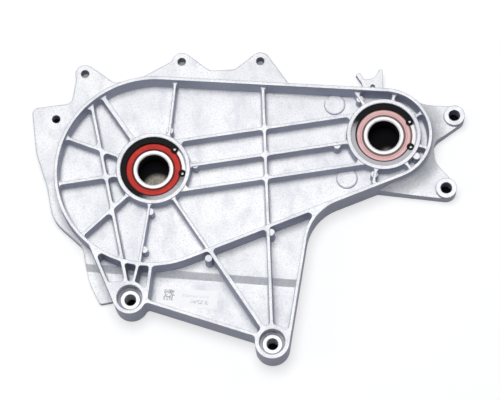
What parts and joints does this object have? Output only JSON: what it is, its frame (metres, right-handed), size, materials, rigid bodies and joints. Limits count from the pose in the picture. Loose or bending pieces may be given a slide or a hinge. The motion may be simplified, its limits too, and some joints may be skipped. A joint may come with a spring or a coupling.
{
  "type": "gearbox cover",
  "caption": "Cast aluminium gearbox cover with deep ribbed pockets, screw ears, a lower bracket, two arms, and two sealed ball bearings held by snap rings.",
  "frame": {"origin": "on the output bearing's axis, at the casting's flat back face", "axes": "+X from the output bearing's axis to the input bearing's axis, +Z out of the ribbed side, +Y towards the row of screw ears"},
  "size_m": [0.3421, 0.2668, 0.026],
  "materials": {
    "cast_aluminium": "matte as-cast, machined rings round the bearing seats and in the feet",
    "bearing_steel": "ground",
    "ball_steel": "polished",
    "cage_steel": "pressed sheet",
    "red_seal": "satin",
    "pale_red_seal": "satin",
    "black_spring_steel": "black oxide, satin",
    "label_film": "matte print film"
  },
  "bodies": {
    "cover": {"cover_casting": "cast_aluminium", "label": "label_film", "output_outer_ring": "bearing_steel", "output_front_seal": "red_seal", "output_rear_seal": "red_seal", "output_snap_ring": "black_spring_steel", "input_outer_ring": "bearing_steel", "input_front_seal": "pale_red_seal", "input_rear_seal": "pale_red_seal", "input_snap_ring": "black_spring_steel"},
    "output_inner": {"output_inner_ring": "bearing_steel"},
    "output_ball_cage": {"output_balls": "ball_steel", "output_cage_front": "cage_steel", "output_cage_rear": "cage_steel", "output_cage_rivets": "cage_steel"},
    "input_inner": {"input_inner_ring": "bearing_steel"},
    "input_ball_cage": {"input_balls": "ball_steel", "input_cage_front": "cage_steel", "input_cage_rear": "cage_steel", "input_cage_rivets": "cage_steel"}
  },
  "joints": [
    {"name": "output_ring_spin", "type": "hinge", "parent": "cover", "child": "output_inner", "pos_m": [0, 0, 0.0102], "axis": [0, 0, 1], "continuous": true},
    {"name": "output_cage_spin", "type": "hinge", "parent": "cover", "child": "output_ball_cage", "pos_m": [0, 0, 0.0102], "axis": [0, 0, 1], "continuous": true},
    {"name": "input_ring_spin", "type": "hinge", "parent": "cover", "child": "input_inner", "pos_m": [0.184, 0, 0.0102], "axis": [0, 0, 1], "continuous": true},
    {"name": "input_cage_spin", "type": "hinge", "parent": "cover", "child": "input_ball_cage", "pos_m": [0.184, 0, 0.0102], "axis": [0, 0, 1], "continuous": true}
  ],
  "couplings": [
    {"joint": "output_cage_spin", "follows": "output_ring_spin", "ratio": 0.3969},
    {"joint": "input_cage_spin", "follows": "input_ring_spin", "ratio": 0.3969}
  ]
}
